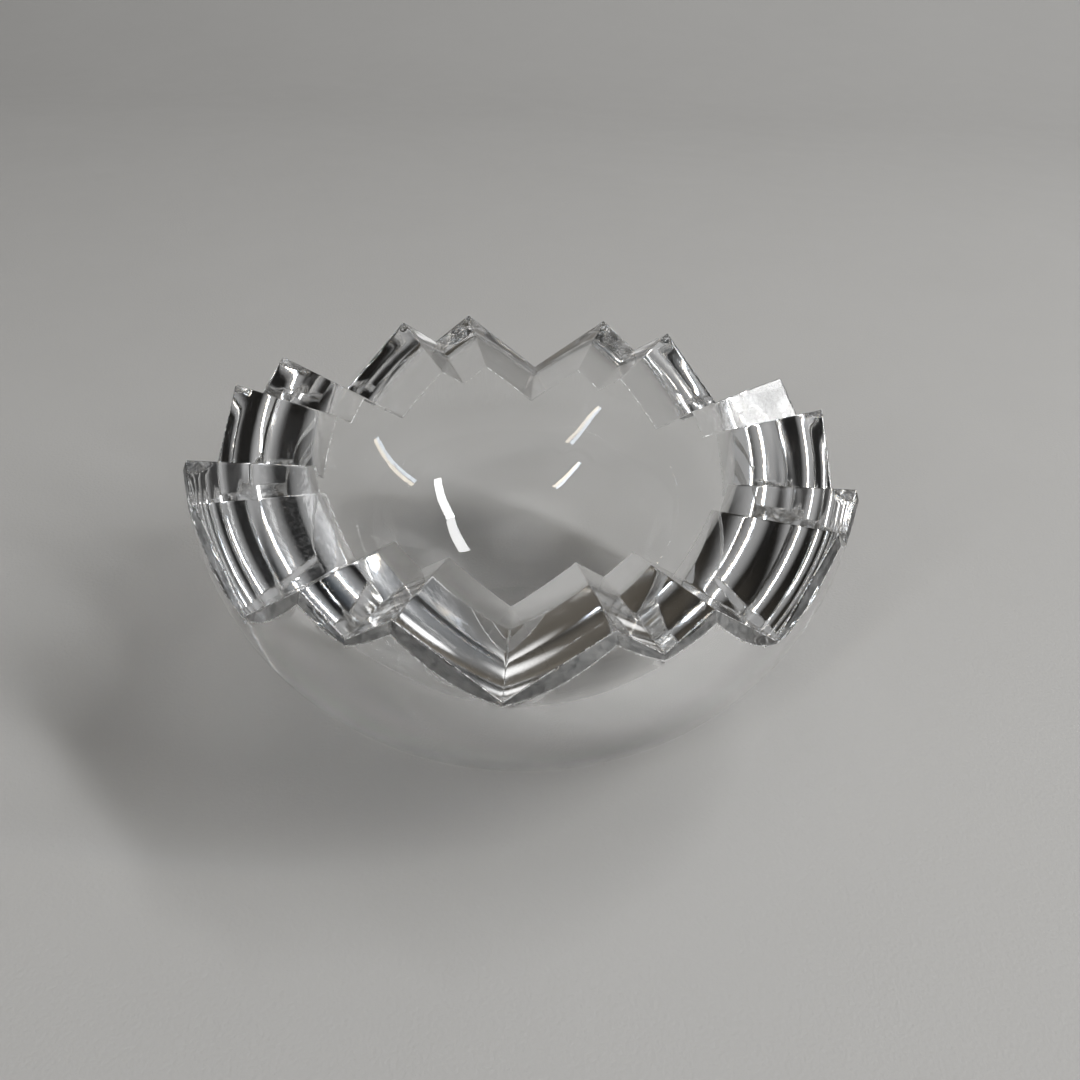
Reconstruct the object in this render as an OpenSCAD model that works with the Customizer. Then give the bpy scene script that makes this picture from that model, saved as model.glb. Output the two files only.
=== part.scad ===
// Heavy cut-crystal bowl with a crown rim
// One piece of clear glass: a round blank, hollowed out, whose thick rim is ground into a ring of
// large and small V notches that meet in sharp tips.

/* [Blank] */
// Height from the resting face to the tips of the rim
height = 67.5; // [58:0.5:78]
// Diameter across the outer corners of the tips
tip_d = 148; // [130:1:166]
// Outward lean of the upper wall, in degrees
wall_lean = 4.25; // [2:0.25:8]
// Radius of the rounded lower body, which runs tangent into the upper wall
belly_r = 63; // [56:0.5:70]
// Diameter of the flat face that the bowl rests on
base_d = 50; // [36:1:70]

/* [Hollow] */
// Diameter of the hollow at the rim
hollow_d = 94; // [84:1:104]
// Thickness of the glass under the middle of the hollow
floor_t = 14; // [8:0.5:20]
// Radius of the bend between the hollow's wall and its floor
hollow_bend_r = 34; // [24:1:40]
// Radius of the hollow's dished floor
hollow_floor_r = 60; // [56:1:120]

/* [Crown rim] */
// Number of large notches, with as many small ones between them
notch_count = 8; // [6:1:10]
// Part of the rim that the large notches take up
large_share = 0.67; // [0.55:0.01:0.75]
// Depth of a large notch below the tips, at its outer end
large_depth = 15.8; // [10:0.1:20]
// Fall of a large notch's floor towards the outside, in degrees
large_fall = 3.8; // [0:0.1:8]
// Depth of a small notch below the tips, at its outer end
small_depth = 7.05; // [4:0.05:9]
// Fall of a small notch's floor towards the hollow, in degrees
small_fall = 2.8; // [0:0.1:6]
// How much polishing has taken off the sharp points
tip_blunt = 0.1; // [0.05:0.05:0.5]

/* [Edge bevels] */
// Lean of the bevel under a tip away from the upright, in degrees
bevel_lean = 21; // [14:1:35]
// How far the bevel is ground into the wall at a tip
tip_inset = 1.2; // [0.8:0.1:2]
// How far the bevel is ground into the wall at a large notch
large_inset = 0.4; // [0.2:0.05:0.8]
// How far the bevel is ground into the wall at a small notch
small_inset = 0.6; // [0.3:0.05:1]

/* [Hidden] */
$fn = 128;

// Overlap where two surfaces run into each other
weld = 0.01;
// Edge length of the blocks that stand for the grinding planes
block = 2 * tip_d;

tip_r = tip_d / 2;
hollow_r = hollow_d / 2;
notch_pitch = 360 / notch_count;
large_half = large_share * notch_pitch / 2;
small_half = (1 - large_share) * notch_pitch / 2;

// Radius of the upper wall at a height above the base
function wall_r(z) = tip_r + tip_inset + (z - height) * tan(wall_lean);

// Centre of the lower body's arc, which touches the upper wall and ends on the base's edge
wall_down = [-sin(wall_lean), -cos(wall_lean)];
wall_inward = [-cos(wall_lean), sin(wall_lean)];
base_edge = [base_d / 2, 0];
from_edge = [wall_r(height), height] + belly_r * wall_inward - base_edge;
run_down = -from_edge * wall_down
         - sqrt(pow(from_edge * wall_down, 2) - from_edge * from_edge + belly_r * belly_r);
belly_c = base_edge + from_edge + run_down * wall_down;
belly_top = belly_c - belly_r * wall_inward;

// Radius of the whole outside, arc and wall, at a height above the base
function skin_r(z) =
    z > belly_top.y ? wall_r(z) : belly_c.x + sqrt(belly_r * belly_r - pow(z - belly_c.y, 2));

// Centres of the hollow's floor arc and of the bend that touches it and the upright wall
floor_c = [0, floor_t + hollow_floor_r];
bend_x = hollow_r - hollow_bend_r;
bend_c = [bend_x, floor_c.y - sqrt(pow(hollow_floor_r - hollow_bend_r, 2) - bend_x * bend_x)];

// A point of the rim, or a direction there: its angle from the front, its reach outward and its height
function rim_point(angle, r, z) = [r * sin(angle), -r * cos(angle), z];

// Rise of a notch's side for each unit across, so that it aims at the point that polishing took off
function notch_rise(depth, half, fall) =
    (depth + tip_blunt - tan(fall) * tip_r * (1 - cos(half))) / (tip_r * sin(half));

// Half section of the blank
module blank_section() {
    intersection() {
        square([block, height]);
        union() {
            translate(belly_c) circle(belly_r);
            square([belly_c.x, height]);
            polygon([belly_c, belly_top + weld * wall_inward, [wall_r(block) - weld, block], [belly_c.x, block]]);
        }
    }
}

// Half section of the hollow
module hollow_section() {
    floor_down = floor_c - [0, 2 * hollow_floor_r];
    floor_end = floor_c + 2 * hollow_floor_r * (bend_c - floor_c) / norm(bend_c - floor_c);
    translate([0, bend_c.y]) square([hollow_r, block]);
    intersection() {
        translate(bend_c) circle(hollow_bend_r + weld);
        square(block);
    }
    intersection() {
        translate(floor_c) circle(hollow_floor_r);
        polygon([floor_c, floor_down, floor_down + floor_end - floor_c, floor_end]);
    }
}

// V groove across the rim at the front, from inside the hollow to past the wall
module notch(depth, half, fall) {
    rise = notch_rise(depth, half, fall) * cos(fall);
    translate([0, -tip_r, height - depth])
        rotate([90 + fall, 0, 0])
            translate([0, 0, hollow_r / 2 - tip_r])
                linear_extrude(tip_r)
                    polygon([[0, 0], [height / rise, height], [-height / rise, height]]);
}

// Glass that is ground off outside the two upper edges of a notch at the front
module edge_bevels(depth, half, inset) {
    tip = rim_point(half, tip_r, height + tip_blunt);
    notch_end = rim_point(0, skin_r(height - depth) - inset, height - depth);
    down_bevel = rim_point(half, sin(bevel_lean), -cos(bevel_lean));
    square_to = cross(notch_end - tip, down_bevel);
    out = square_to / norm(square_to);
    for (side = [0, 1])
        mirror([side, 0, 0])
            intersection() {
                translate(tip)
                    rotate([0, acos(out.z), atan2(out.y, out.x)])
                        translate([-block / 2, -block / 2, 0]) cube(block);
                translate([0, -block, 0]) cube(block);
            }
}

// The whole bowl: blank, hollow, and the ground crown
module bowl() {
    color([0.87, 0.89, 0.89, 0.45])
        difference() {
            rotate_extrude() blank_section();
            rotate_extrude() hollow_section();
            for (i = [0 : notch_count - 1]) {
                rotate(i * notch_pitch) notch(large_depth, large_half, large_fall);
                rotate(i * notch_pitch) edge_bevels(large_depth, large_half, large_inset);
                rotate((i + 0.5) * notch_pitch) notch(small_depth, small_half, -small_fall);
                rotate((i + 0.5) * notch_pitch) edge_bevels(small_depth, small_half, small_inset);
            }
        }
}

bowl();
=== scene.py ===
"""Looks of a heavy cut-crystal bowl with a crown rim: fine glass mesh, pale paper and soft light."""
import math

import bpy
from mathutils import Matrix, Vector, noise


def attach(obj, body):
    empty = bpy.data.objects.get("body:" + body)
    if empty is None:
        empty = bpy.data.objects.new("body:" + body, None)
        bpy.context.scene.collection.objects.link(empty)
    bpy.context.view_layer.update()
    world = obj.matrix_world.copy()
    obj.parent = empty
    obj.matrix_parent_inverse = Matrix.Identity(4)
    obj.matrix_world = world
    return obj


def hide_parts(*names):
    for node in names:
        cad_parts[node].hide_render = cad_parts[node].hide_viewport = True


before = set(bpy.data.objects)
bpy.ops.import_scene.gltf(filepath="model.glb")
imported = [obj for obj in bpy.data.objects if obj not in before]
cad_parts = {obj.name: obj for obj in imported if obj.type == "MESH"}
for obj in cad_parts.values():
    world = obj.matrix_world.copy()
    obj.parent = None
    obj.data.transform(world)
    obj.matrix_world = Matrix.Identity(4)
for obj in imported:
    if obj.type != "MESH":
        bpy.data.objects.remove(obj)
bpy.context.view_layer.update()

# Sizes of the bowl in millimetres, as the solid has them
HEIGHT = 67.5
TIP_R = 74.0
WALL_LEAN = math.radians(4.25)
BELLY_R = 63.0
BASE_R = 25.0
HOLLOW_R = 47.0
FLOOR_T = 14.0
HOLLOW_BEND_R = 34.0
HOLLOW_FLOOR_R = 60.0
NOTCHES = 8
LARGE_SHARE = 0.67
LARGE_DEPTH = 15.8
LARGE_FALL = math.radians(3.8)
SMALL_DEPTH = 7.05
SMALL_FALL = math.radians(-2.8)
TIP_BLUNT = 0.1
BEVEL_LEAN = math.radians(21)
TIP_INSET = 1.2
LARGE_INSET = 0.4
SMALL_INSET = 0.6

# Rounding that polishing leaves on the ground edges, in millimetres
BASE_EDGE_ROUND = 0.6
RIM_EDGE_ROUND = 0.22
INNER_EDGE_ROUND = 0.3
CREASE_ROUND = 0.12
# Largest share of a side that a rounded corner takes up
ROUND_SHARE = 0.45

# Small chips along the edges: spacing and depth in millimetres, and the noise at which they start
NICK_SPACING = 1.7
NICK_DEPTH = 0.3
NICK_START = 0.22
# Shift in millimetres that keeps the chips of the outer and inner edges unlike
NICK_SHIFT = 7

# Steps of the mesh along the section, from the base's middle over the rim to the hollow's middle
BASE_STEPS = 8
WALL_STEPS = 50
BEVEL_STEPS = 3
FACET_STEPS = 14
HOLLOW_WALL_STEPS = 8
BEND_STEPS = 36
HOLLOW_FLOOR_STEPS = 16
ROUND_STEPS = 4
# Steps across one side of a large and of a small notch
LARGE_STEPS = 20
SMALL_STEPS = 12

# Rounds of the searches along the rim, and how far down a bevel may reach, in millimetres
EDGE_ROUNDS = 12
HALVINGS = 40
BEVEL_REACH = 12

MM = 0.001
PITCH = 2 * math.pi / NOTCHES
LARGE_HALF = LARGE_SHARE * PITCH / 2
SMALL_HALF = PITCH / 2 - LARGE_HALF


# Outer wall

def wall_r(z):
    return TIP_R + TIP_INSET + (z - HEIGHT) * math.tan(WALL_LEAN)


def belly():
    """Centre of the lower body's arc and the point where it runs into the wall."""
    down = Vector((-math.sin(WALL_LEAN), -math.cos(WALL_LEAN)))
    inward = Vector((-math.cos(WALL_LEAN), math.sin(WALL_LEAN)))
    edge = Vector((BASE_R, 0))
    to_wall = Vector((wall_r(HEIGHT), HEIGHT)) + BELLY_R * inward - edge
    along = to_wall.dot(down)
    run = -along - math.sqrt(along ** 2 - to_wall.length_squared + BELLY_R ** 2)
    centre = edge + to_wall + run * down
    return centre, centre - BELLY_R * inward


BELLY_C, BELLY_TOP = belly()


def outer_r(z):
    """Radius of the uncut outer wall at a height."""
    if z >= BELLY_TOP.y:
        return wall_r(z)
    return BELLY_C.x + math.sqrt(BELLY_R ** 2 - (z - BELLY_C.y) ** 2)


# Hollow

FLOOR_C = FLOOR_T + HOLLOW_FLOOR_R
BEND_X = HOLLOW_R - HOLLOW_BEND_R
BEND_Z = FLOOR_C - math.sqrt((HOLLOW_FLOOR_R - HOLLOW_BEND_R) ** 2 - BEND_X ** 2)
BEND_END = math.atan2(FLOOR_C - BEND_Z, BEND_X)


# Crown rim

def notch_rise(depth, half, fall):
    """Slope of a notch's sides that brings them to full height at the tips."""
    drop = math.tan(fall) * TIP_R * (1 - math.cos(half))
    return (depth + TIP_BLUNT - drop) / (TIP_R * math.sin(half))


def soft_abs(x):
    return math.sqrt(x * x + CREASE_ROUND ** 2) - CREASE_ROUND


def soft_min(a, b):
    return (a + b - math.sqrt((a - b) ** 2 + CREASE_ROUND ** 2)) / 2


def notch_z(r, angle, depth, half, fall):
    """Height of a notch's sides at a radius and an angle from its middle."""
    across = notch_rise(depth, half, fall) * soft_abs(r * math.sin(angle))
    return HEIGHT - depth + across - math.tan(fall) * (r * math.cos(angle) - TIP_R)


def both_notches(r, angle):
    """Heights of a large and of the next small notch at an angle from the large one's middle."""
    large = notch_z(r, angle, LARGE_DEPTH, LARGE_HALF, LARGE_FALL)
    small = notch_z(r, PITCH / 2 - angle, SMALL_DEPTH, SMALL_HALF, SMALL_FALL)
    return large, small


def rim_z(r, angle):
    return min(soft_min(*both_notches(r, angle)), HEIGHT)


def bevel_plane(depth, half, inset):
    """Normal and offset of the bevel beside a notch, with x across the notch and y outward."""
    tip = Vector((TIP_R * math.sin(half), TIP_R * math.cos(half), HEIGHT + TIP_BLUNT))
    end = Vector((0, outer_r(HEIGHT - depth) - inset, HEIGHT - depth))
    lean = math.tan(BEVEL_LEAN)
    under = Vector((lean * math.sin(half), lean * math.cos(half), -1))
    normal = under.cross(end - tip).normalized()
    if normal.y < 0:
        normal.negate()
    return normal, normal.dot(tip)


LARGE_BEVEL = bevel_plane(LARGE_DEPTH, LARGE_HALF, LARGE_INSET)
SMALL_BEVEL = bevel_plane(SMALL_DEPTH, SMALL_HALF, SMALL_INSET)


def bevel_r(z, angle):
    """Radius of the bevels at a height and an angle from the large notch's middle."""
    radii = []
    for (normal, offset), a in ((LARGE_BEVEL, angle), (SMALL_BEVEL, PITCH / 2 - angle)):
        radii.append((offset - normal.z * z) / (normal.x * math.sin(a) + normal.y * math.cos(a)))
    return min(radii)


def last_where(holds, low, high):
    """The place between low and high up to which a test holds."""
    for _ in range(HALVINGS):
        mid = (low + high) / 2
        if holds(mid):
            low = mid
        else:
            high = mid
    return low


def outer_edge(angle):
    """Upper and lower edge of the bevel at an angle."""
    r = TIP_R
    for _ in range(EDGE_ROUNDS):
        z = rim_z(r, angle)
        r = min(bevel_r(z, angle), outer_r(z))
    low = last_where(lambda height: bevel_r(height, angle) > outer_r(height), z - BEVEL_REACH, z)
    return Vector((r, z)), Vector((outer_r(low), low))


def ridge_angle(r):
    """Angle at which a large and a small notch meet, at a radius."""
    def in_large(angle):
        large, small = both_notches(r, angle)
        return large < small

    return last_where(in_large, 0, PITCH / 2)


def on_ridge(angle, r):
    """The angle moved so that the column at the tip follows the ridge inward."""
    ridge = ridge_angle(r)
    if angle <= LARGE_HALF:
        return angle * ridge / LARGE_HALF
    return PITCH / 2 - (PITCH / 2 - angle) * (PITCH / 2 - ridge) / SMALL_HALF


# Half section of the glass at one angle

def between(a, b, steps):
    """Points from a towards b, without b."""
    return [a.lerp(b, i / steps) for i in range(steps)]


def crowded(count):
    """Steps from 0 to 1, closer together at both ends, without the last."""
    return [(1 - math.cos(math.pi * i / count)) / 2 for i in range(count)]


def arc(cx, cz, radius, start, end, steps):
    """Points of an arc without its last one."""
    angles = [start + (end - start) * i / steps for i in range(steps)]
    return [Vector((cx + radius * math.cos(t), cz + radius * math.sin(t))) for t in angles]


def rounded(before, corner, after, size):
    """Points of a small round in place of a corner."""
    back, on = before - corner, after - corner
    first = corner + back.normalized() * min(size, back.length * ROUND_SHARE)
    last = corner + on.normalized() * min(size, on.length * ROUND_SHARE)
    points = []
    for i in range(ROUND_STEPS + 1):
        t = i / ROUND_STEPS
        points.append(first * (1 - t) ** 2 + corner * (2 * t * (1 - t)) + last * t ** 2)
    return points


def outer_path(top, steps):
    """Evenly spaced points up the belly and the wall to the top, without the top."""
    start = math.atan2(-BELLY_C.y, BASE_R - BELLY_C.x)
    bend_top = top if top.y < BELLY_TOP.y else BELLY_TOP
    join = math.atan2(bend_top.y - BELLY_C.y, bend_top.x - BELLY_C.x)
    bend = BELLY_R * (join - start)
    straight = (top - BELLY_TOP).length if top.y > BELLY_TOP.y else 0
    points = []
    for i in range(steps):
        run = (bend + straight) * i / steps
        if run <= bend:
            t = start + run / BELLY_R
            x, z = BELLY_C.x + BELLY_R * math.cos(t), BELLY_C.y + BELLY_R * math.sin(t)
            points.append(Vector((x, z)))
        else:
            points.append(BELLY_TOP.lerp(top, (run - bend) / straight))
    return points


def worn(angle, points, side, cut_before, cut_after):
    """Section points of a rounded edge, worn between its ends, with the cut of the faces beside it."""
    middle = [(angle, p.x, p.y, 1, side) for p in points[1:-1]]
    return [(angle, *points[0], cut_before, 0)] + middle + [(angle, *points[-1], cut_after, 0)]


def half_section(angle):
    """Angle, radius, height, cut and edge side of points from the base's middle to the hollow's.

    The cut is 0 on polished faces, 1 on the notches' facets and 2 on the bevels. The edge side is
    -1 on worn outer edges, 1 on the worn inner edge and 0 elsewhere.
    """
    upper, lower = outer_edge(angle)
    inner_angle = on_ridge(angle, HOLLOW_R)
    inner = Vector((HOLLOW_R, rim_z(HOLLOW_R, inner_angle)))
    base_edge = Vector((BASE_R, 0))
    hollow_top = Vector((HOLLOW_R, BEND_Z))

    outside = between(Vector((0, 0)), base_edge, BASE_STEPS)
    wall = outer_path(lower, WALL_STEPS)
    outside += rounded(outside[-1], base_edge, wall[1], BASE_EDGE_ROUND)
    outside += wall[1:]
    points = [(angle, p.x, p.y, 0, 0) for p in outside]
    below = rounded(wall[-1], lower, upper, RIM_EDGE_ROUND)
    above = rounded(lower, upper, inner, RIM_EDGE_ROUND)
    points += worn(angle, below, -1, 0, 2)
    points += [(angle, p.x, p.y, 2, 0) for p in between(below[-1], above[0], BEVEL_STEPS)[1:]]
    points += worn(angle, above, -1, 2, 1)

    for t in crowded(FACET_STEPS)[1:]:
        r = upper.x + (inner.x - upper.x) * t
        turned = on_ridge(angle, r)
        points.append((turned, r, rim_z(r, turned), 1, 0))

    points += worn(inner_angle, rounded(upper, inner, hollow_top, INNER_EDGE_ROUND), 1, 1, 0)
    inside = [inner.lerp(hollow_top, t) for t in crowded(HOLLOW_WALL_STEPS)[1:]]
    inside += arc(BEND_X, BEND_Z, HOLLOW_BEND_R, 0, -BEND_END, BEND_STEPS)
    inside += arc(0, FLOOR_C, HOLLOW_FLOOR_R, -BEND_END, -math.pi / 2, HOLLOW_FLOOR_STEPS)
    inside.append(Vector((0, FLOOR_T)))
    return points + [(inner_angle, p.x, p.y, 0, 0) for p in inside]


# The whole glass

def leg_angles():
    """Angles from a large notch's middle, over a tip, to the next small notch's middle."""
    large = [LARGE_HALF * t for t in crowded(LARGE_STEPS)]
    small = [LARGE_HALF + SMALL_HALF * t for t in crowded(SMALL_STEPS)]
    return large + small + [PITCH / 2]


def nick(r, turn, side):
    """Depth of the chips at a place along an edge, and none on most of it."""
    place = Vector((r * math.sin(turn), r * math.cos(turn), NICK_SHIFT * side)) / NICK_SPACING
    return NICK_DEPTH * max(0, noise.noise(place) - NICK_START)


def glass_mesh():
    """Sections side by side around the axis, which share the base's and the hollow's middle."""
    rising = leg_angles()
    ring = []
    for i in range(NOTCHES):
        ring += [(i * PITCH, 1, a) for a in rising[:-1]]
        ring += [((i + 1) * PITCH, -1, a) for a in reversed(rising[1:])]
    sections = {a: half_section(a)[1:-1] for a in rising}
    verts = [(0, 0, 0), (0, 0, FLOOR_T * MM)]
    cuts = [0, 0]
    edges = [0, 0]
    for middle, way, folded in ring:
        for angle, r, z, cut, side in sections[folded]:
            turn = middle + way * angle
            if side:
                depth = nick(r, turn, side)
                r += side * depth
                z -= depth
            verts.append((r * math.sin(turn) * MM, -r * math.cos(turn) * MM, z * MM))
            cuts.append(cut)
            edges.append(abs(side))
    row = len(sections[rising[0]])
    faces = []
    for j in range(len(ring)):
        here = 2 + j * row
        there = 2 + (j + 1) % len(ring) * row
        faces.append((0, there, here))
        faces.append((1, here + row - 1, there + row - 1))
        for i in range(row - 1):
            faces.append((here + i, there + i, there + i + 1, here + i + 1))
    mesh = bpy.data.meshes.new("bowl_glass")
    mesh.from_pydata(verts, [], faces)
    mesh.validate()
    mesh.update()
    mesh.shade_smooth()
    mesh.attributes.new("cut", "FLOAT", "POINT").data.foreach_set("value", cuts)
    mesh.attributes.new("edge", "FLOAT", "POINT").data.foreach_set("value", edges)
    return mesh


# Materials

class Nodes:
    """Short ways to add nodes to a material or a world."""

    def __init__(self, tree):
        self.nodes = tree.nodes
        self.links = tree.links

    def feed(self, socket, value):
        if isinstance(value, bpy.types.NodeSocket):
            self.links.new(value, socket)
        else:
            socket.default_value = value

    def attribute(self, name):
        node = self.nodes.new("ShaderNodeAttribute")
        node.attribute_name = name
        return node.outputs["Fac"]

    def noise(self, size, detail, stretch=(1, 1, 1)):
        """Noise between 0 and 1 whose grains are about one size apart, in metres."""
        place = self.nodes.new("ShaderNodeTexCoord")
        scaled = self.nodes.new("ShaderNodeMapping")
        scaled.inputs["Scale"].default_value = stretch
        self.links.new(place.outputs["Object"], scaled.inputs["Vector"])
        node = self.nodes.new("ShaderNodeTexNoise")
        node.inputs["Scale"].default_value = 1 / size
        node.inputs["Detail"].default_value = detail
        self.links.new(scaled.outputs[0], node.inputs["Vector"])
        return node.outputs["Fac"]

    def spread(self, value, old_range, new_range, soft=False):
        """A value moved from its old range to a new one, and held at the ends."""
        node = self.nodes.new("ShaderNodeMapRange")
        if soft:
            node.interpolation_type = "SMOOTHSTEP"
        for socket, part in zip(node.inputs[:5], (value, *old_range, *new_range)):
            self.feed(socket, part)
        return node.outputs[0]

    def math(self, operation, a, b):
        node = self.nodes.new("ShaderNodeMath")
        node.operation = operation
        self.feed(node.inputs[0], a)
        self.feed(node.inputs[1], b)
        return node.outputs[0]

    def blend(self, share, a, b):
        """Colour a where the share is 0 and colour b where it is 1."""
        node = self.nodes.new("ShaderNodeMix")
        node.data_type = "RGBA"
        self.feed(node.inputs["Factor"], share)
        self.feed(node.inputs["A"], a if isinstance(a, bpy.types.NodeSocket) else (*a, 1))
        self.feed(node.inputs["B"], (*b, 1))
        return node.outputs["Result"]

    def bump(self, height, distance):
        node = self.nodes.new("ShaderNodeBump")
        node.inputs["Distance"].default_value = distance
        self.links.new(height, node.inputs["Height"])
        return node.outputs["Normal"]


def node_material(name):
    """A new material, its nodes' maker and the sockets of its shader."""
    material = bpy.data.materials.new(name)
    material.use_nodes = True
    shader = material.node_tree.nodes["Principled BSDF"]
    return material, Nodes(material.node_tree), shader.inputs


GLASS_IOR = 1.55
# Tints of the clear glass, in faint upright streaks, and the streaks' size in metres
STREAK_TINT = (0.985, 0.99, 0.988)
CLEAR_TINT = (1.0, 1.0, 1.0)
STREAK_SIZE = 0.02
STREAK_STRETCH = (1, 1, 0.3)
# Colour of the painted shade on the finely ground bevels, dark as the shaded floor seen through them,
# its grain in metres, its least and greatest share, and where the cut turns from facet to bevel
BEVEL_PAINTED_SHADE = (0.07, 0.075, 0.078)
BEVEL_SHADE_GRAIN = 0.0015
BEVEL_SHADE_SHARE = (0.7, 1.0)
BEVEL_TURN = (1.3, 1.7)
# Middle part of the noise that grains are made from
GRAIN_RANGE = (0.35, 0.65)
# Satin of the ground facets: its mean roughness, the least and greatest, and its grain in metres
CUT_ROUGH = 0.09
SATIN_ROUGH = (0.4 * CUT_ROUGH, 1.5 * CUT_ROUGH)
SATIN_GRAIN = 0.0006
# Smudges on the polished hollow and body: their size in metres, the noise that shows and the roughness
SMUDGE_SIZE = 0.025
SMUDGE_RANGE = (0.52, 0.75)
SMUDGE_ROUGH = (0.0, 0.04)
# Wear along the edges, as the smudges
WEAR_SIZE = 0.0016
WEAR_RANGE = (0.5, 0.62)
WEAR_ROUGH = (0, 0.5)
# White, crushed glass in the chips, as the smudges, and its share
CHIP_SIZE = 0.0011
CHIP_RANGE = (0.5, 0.6)
CHIP_SHARE = (0, 0.8)
# Waviness that grinding leaves on the facets, in metres, and the fine grain in it
WAVE_HEIGHT = 0.00003
WAVE_SIZE = 0.011
GRIND_GRAIN = 0.0007
GRIND_SHARE = 0.03


def crystal_material():
    """Clear glass: polished hollow and body, satin ground facets, painted shade on bevels, chipped
    edges.
    """
    material, make, sockets = node_material("crystal")
    sockets["IOR"].default_value = GLASS_IOR
    depth = make.attribute("cut")
    cut = make.math("MINIMUM", depth, 1.0)
    bevel = make.spread(depth, BEVEL_TURN, (0, 1), soft=True)
    edge = make.attribute("edge")

    streaks = make.noise(STREAK_SIZE, detail=3, stretch=STREAK_STRETCH)
    clear = make.blend(streaks, STREAK_TINT, CLEAR_TINT)
    # Painted shade on the bevels, broken up by a grain, darkens the glass's colour there
    ground = make.spread(make.noise(BEVEL_SHADE_GRAIN, detail=4), GRAIN_RANGE, BEVEL_SHADE_SHARE)
    painted_shade = make.math("MULTIPLY", bevel, ground)
    make.feed(sockets["Base Color"], make.blend(painted_shade, clear, BEVEL_PAINTED_SHADE))

    satin = make.spread(make.noise(SATIN_GRAIN, detail=4), GRAIN_RANGE, SATIN_ROUGH)
    smudge = make.spread(make.noise(SMUDGE_SIZE, detail=4), SMUDGE_RANGE, SMUDGE_ROUGH)
    wear = make.spread(make.noise(WEAR_SIZE, detail=4), WEAR_RANGE, WEAR_ROUGH, soft=True)
    faces = make.math("MAXIMUM", make.math("MULTIPLY", cut, satin), smudge)
    rough = make.math("MAXIMUM", faces, make.math("MULTIPLY", edge, wear))
    make.feed(sockets["Roughness"], rough)

    white = make.spread(make.noise(CHIP_SIZE, detail=3), CHIP_RANGE, CHIP_SHARE, soft=True)
    chips = make.math("MULTIPLY", edge, white)
    make.feed(sockets["Transmission Weight"], make.math("SUBTRACT", 1.0, chips))

    grain = make.math("MULTIPLY", make.noise(GRIND_GRAIN, detail=2), GRIND_SHARE)
    waves = make.math("ADD", make.noise(WAVE_SIZE, detail=1), grain)
    make.feed(sockets["Normal"], make.bump(make.math("MULTIPLY", cut, waves), WAVE_HEIGHT))
    return material


# Paper: the colour of its darker and lighter clouds, its gloss, and the sizes of these and of its
# tooth in metres
CLOUD_DARK = (0.55, 0.545, 0.535)
CLOUD_LIGHT = (0.575, 0.57, 0.56)
CLOUD_SIZE = 0.09
PAPER_SPECULAR = 0.3
PAPER_ROUGH = (0.55, 0.75)
GLOSS_RANGE = (0.3, 0.7)
GLOSS_SIZE = 0.03
TOOTH_SIZE = 0.0009
TOOTH_HEIGHT = 0.0001


def floor_material():
    """Pale matte paper with a faint cloudiness and a fine tooth."""
    material, make, sockets = node_material("pale_paper")
    clouds = make.noise(CLOUD_SIZE, detail=4)
    make.feed(sockets["Base Color"], make.blend(clouds, CLOUD_DARK, CLOUD_LIGHT))
    gloss = make.noise(GLOSS_SIZE, detail=3)
    make.feed(sockets["Roughness"], make.spread(gloss, GLOSS_RANGE, PAPER_ROUGH))
    make.feed(sockets["Normal"], make.bump(make.noise(TOOTH_SIZE, detail=3), TOOTH_HEIGHT))
    sockets["Specular IOR Level"].default_value = PAPER_SPECULAR
    return material


# The glass in the scene

def add_object(name, data):
    obj = bpy.data.objects.new(name, data)
    bpy.context.scene.collection.objects.link(obj)
    return obj


bowl = add_object("crystal_bowl", glass_mesh())
bowl.data.materials.append(crystal_material())
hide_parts("bowl")
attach(bowl, "root")

# Floor

# The paper lies flat under the bowl and rises gently behind it: its ends, bend and slope, in metres
PAPER_DROP = 0.0001
PAPER_FRONT = -1.5
PAPER_BACK = 0.7
PAPER_BEND_R = 0.8
PAPER_BEND_STEPS = 24
PAPER_SLOPE = math.radians(45)
PAPER_RISE = 0.5
PAPER_HALF = 3.0


def paper_mesh():
    profile = [(PAPER_FRONT, 0)]
    for i in range(PAPER_BEND_STEPS + 1):
        t = PAPER_SLOPE * i / PAPER_BEND_STEPS
        profile.append((PAPER_BACK + PAPER_BEND_R * math.sin(t), PAPER_BEND_R * (1 - math.cos(t))))
    y, z = profile[-1]
    profile.append((y + PAPER_RISE, z + PAPER_RISE * math.tan(PAPER_SLOPE)))
    verts = [(x, y, z - PAPER_DROP) for y, z in profile for x in (-PAPER_HALF, PAPER_HALF)]
    faces = [(2 * i, 2 * i + 1, 2 * i + 3, 2 * i + 2) for i in range(len(profile) - 1)]
    mesh = bpy.data.meshes.new("paper")
    mesh.from_pydata(verts, [], faces)
    mesh.update()
    mesh.shade_smooth()
    return mesh


floor = add_object("floor", paper_mesh())
floor.data.materials.append(floor_material())

# Light

NEUTRAL = (1.0, 1.0, 1.0)
COOL = (0.88, 1.0, 1.14)
WARM = (1.14, 1.0, 0.8)

# Strip lamps at one height above the floor, in metres: their two ends to the right and back and
# their width, as shares of that height, their brightness and tint, and whether they show through
# the glass and in its mirror images
LAMP_UP = 1.25
LAMPS = {
    "right_warm": ((1.6, -0.155), (0.85, -0.075), 0.05, 11.0, WARM, True, False),
    "right_cool": ((1.6, -0.215), (0.85, -0.125), 0.05, 11.0, COOL, True, False),
    "right_fill": ((1.45, -0.665), (0.725, -0.15), 0.14, 14.6, NEUTRAL, False, True),
    "top_strip": ((0.72, -0.14), (0.36, 0.30), 0.095, 11.6, NEUTRAL, False, True),
    "left_warm": ((-0.49, -1.04), (-1.08, -1.76), 0.05, 11.5, WARM, True, True),
    "left_cool": ((-0.53, -1.01), (-1.12, -1.73), 0.05, 11.5, COOL, True, True),
}
# Power of a flat lamp for each unit of its brightness and area
LAMP_POWER = 4


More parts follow.
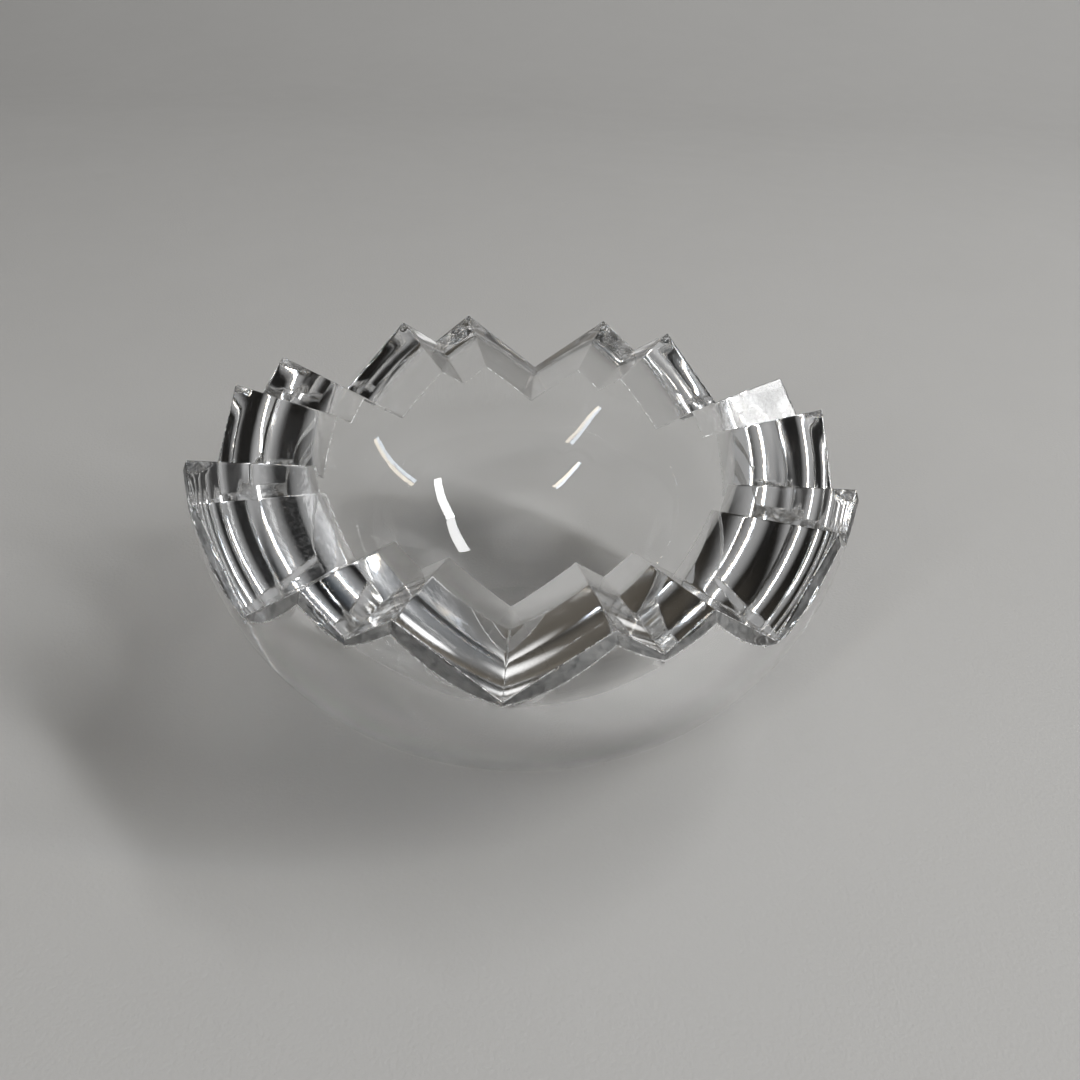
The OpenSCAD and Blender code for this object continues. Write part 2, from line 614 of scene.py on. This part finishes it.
def facing(place, target, along):
    """Axes of a lamp at a place that faces a target, with its long side along a direction."""
    away = (place - target).normalized()
    side = (along - along.dot(away) * away).normalized()
    axes = Matrix((side, away.cross(side), away)).transposed()
    return Matrix.Translation(place) @ axes.to_4x4()


def strip_lamp(name, start, end, width, brightness, tint):
    """A flat lamp that spans two places above the bowl and shines at it."""
    lamp = bpy.data.lights.new(name, "AREA")
    lamp.shape = "RECTANGLE"
    lamp.size = (end - start).length
    lamp.size_y = width
    lamp.energy = brightness * lamp.size * lamp.size_y * LAMP_POWER
    lamp.color = tint
    obj = add_object(name, lamp)
    obj.matrix_world = facing((start + end) / 2, Vector((0, 0, HEIGHT * MM)), end - start)
    return obj


for name, (near, far, width, brightness, tint, through, mirrored) in LAMPS.items():
    first, last = [Vector((x, y, 1)) * LAMP_UP for x, y in (near, far)]
    lamp = strip_lamp(name, first, last, width * LAMP_UP, brightness, tint)
    lamp.visible_transmission = through
    lamp.visible_glossy = mirrored

# A dim room that is pale from the ground up to a low horizon, whose edge fades between two
# elevations in degrees
ROOM_LIGHT = 0.004
HORIZON_LIGHT = 0.32
HORIZON_FADE = (9, 25)
# Soft panels of light in the room: azimuth from the right, elevation and half width in degrees,
# strength and tint
PANELS = [
    (-17, 34, 33, 0.25, NEUTRAL),
    (5, 62, 42, 0.1, COOL),
    (130, 78, 55, 0.08, WARM),
    (85, 14, 45, 0.15, WARM),
    (46, 52, 11, 1.6, NEUTRAL),
    (236, 25, 28, 0.32, NEUTRAL),
    (200, 88, 20, 1.05, NEUTRAL),
]


def room_world():
    world = bpy.data.worlds.new("room")
    bpy.context.scene.world = world
    world.use_nodes = True
    make = Nodes(world.node_tree)
    toward_sky = make.nodes.new("ShaderNodeTexCoord").outputs["Generated"]
    height = make.nodes.new("ShaderNodeSeparateXYZ")
    make.links.new(toward_sky, height.inputs[0])
    fade = [math.sin(math.radians(elevation)) for elevation in HORIZON_FADE]
    total = make.spread(height.outputs["Z"], fade, (HORIZON_LIGHT, ROOM_LIGHT), soft=True)
    for azimuth, elevation, width, strength, tint in PANELS:
        a, e = math.radians(azimuth), math.radians(elevation)
        middle = make.nodes.new("ShaderNodeVectorMath")
        middle.operation = "DOT_PRODUCT"
        toward = (math.cos(e) * math.cos(a), math.cos(e) * math.sin(a), math.sin(e))
        middle.inputs[1].default_value = toward
        make.links.new(toward_sky, middle.inputs[0])
        rim = math.cos(math.radians(width))
        share = make.spread(middle.outputs["Value"], (rim, 1), (0, strength), soft=True)
        glow = make.nodes.new("ShaderNodeVectorMath")
        glow.operation = "SCALE"
        glow.inputs[0].default_value = tint
        make.links.new(share, glow.inputs["Scale"])
        both = make.nodes.new("ShaderNodeVectorMath")
        make.links.new(total, both.inputs[0])
        make.links.new(glow.outputs[0], both.inputs[1])
        total = both.outputs[0]
    make.links.new(total, world.node_tree.nodes["Background"].inputs["Color"])


room_world()

# Camera at the photograph's angle: its place in millimetres, its turns in radians, and its lens
# for a square image

CAMERA_AZIMUTH = math.radians(2.0826)
CAMERA_OUT = 2.9029 * TIP_R
CAMERA_UP = HEIGHT + 1.4991 * TIP_R
CAMERA_PAN = 0.0210
CAMERA_TILT = 0.5771
CAMERA_ROLL = 0.0362
FOCAL_PIXELS = 1053.98
IMAGE_PIXELS = 1080
SENSOR = 36
CLIP_START = 0.01


def make_camera():
    camera = bpy.data.cameras.new("camera")
    camera.sensor_width = SENSOR
    camera.lens = FOCAL_PIXELS * SENSOR / IMAGE_PIXELS
    camera.clip_start = CLIP_START
    obj = add_object("camera", camera)
    turn = Matrix.Rotation(CAMERA_AZIMUTH, 3, "Z")
    forward = Vector((math.sin(CAMERA_PAN) * math.cos(CAMERA_TILT),
                      math.cos(CAMERA_PAN) * math.cos(CAMERA_TILT),
                      -math.sin(CAMERA_TILT)))
    right = Vector((math.cos(CAMERA_PAN), -math.sin(CAMERA_PAN), 0))
    up = right.cross(forward)
    rolled_right = math.cos(CAMERA_ROLL) * right + math.sin(CAMERA_ROLL) * up
    rolled_up = math.cos(CAMERA_ROLL) * up - math.sin(CAMERA_ROLL) * right
    axes = Matrix((turn @ rolled_right, turn @ rolled_up, turn @ -forward)).transposed()
    place = turn @ Vector((0, -CAMERA_OUT, CAMERA_UP)) * MM
    obj.matrix_world = Matrix.Translation(place) @ axes.to_4x4()
    bpy.context.scene.camera = obj


make_camera()

# Light is mirrored many times inside the crown before it comes out
GLASS_BOUNCES = 32
MIRROR_BOUNCES = 16

scene = bpy.context.scene
scene.view_settings.view_transform = "Standard"
scene.cycles.max_bounces = GLASS_BOUNCES
scene.cycles.transmission_bounces = GLASS_BOUNCES
scene.cycles.glossy_bounces = MIRROR_BOUNCES
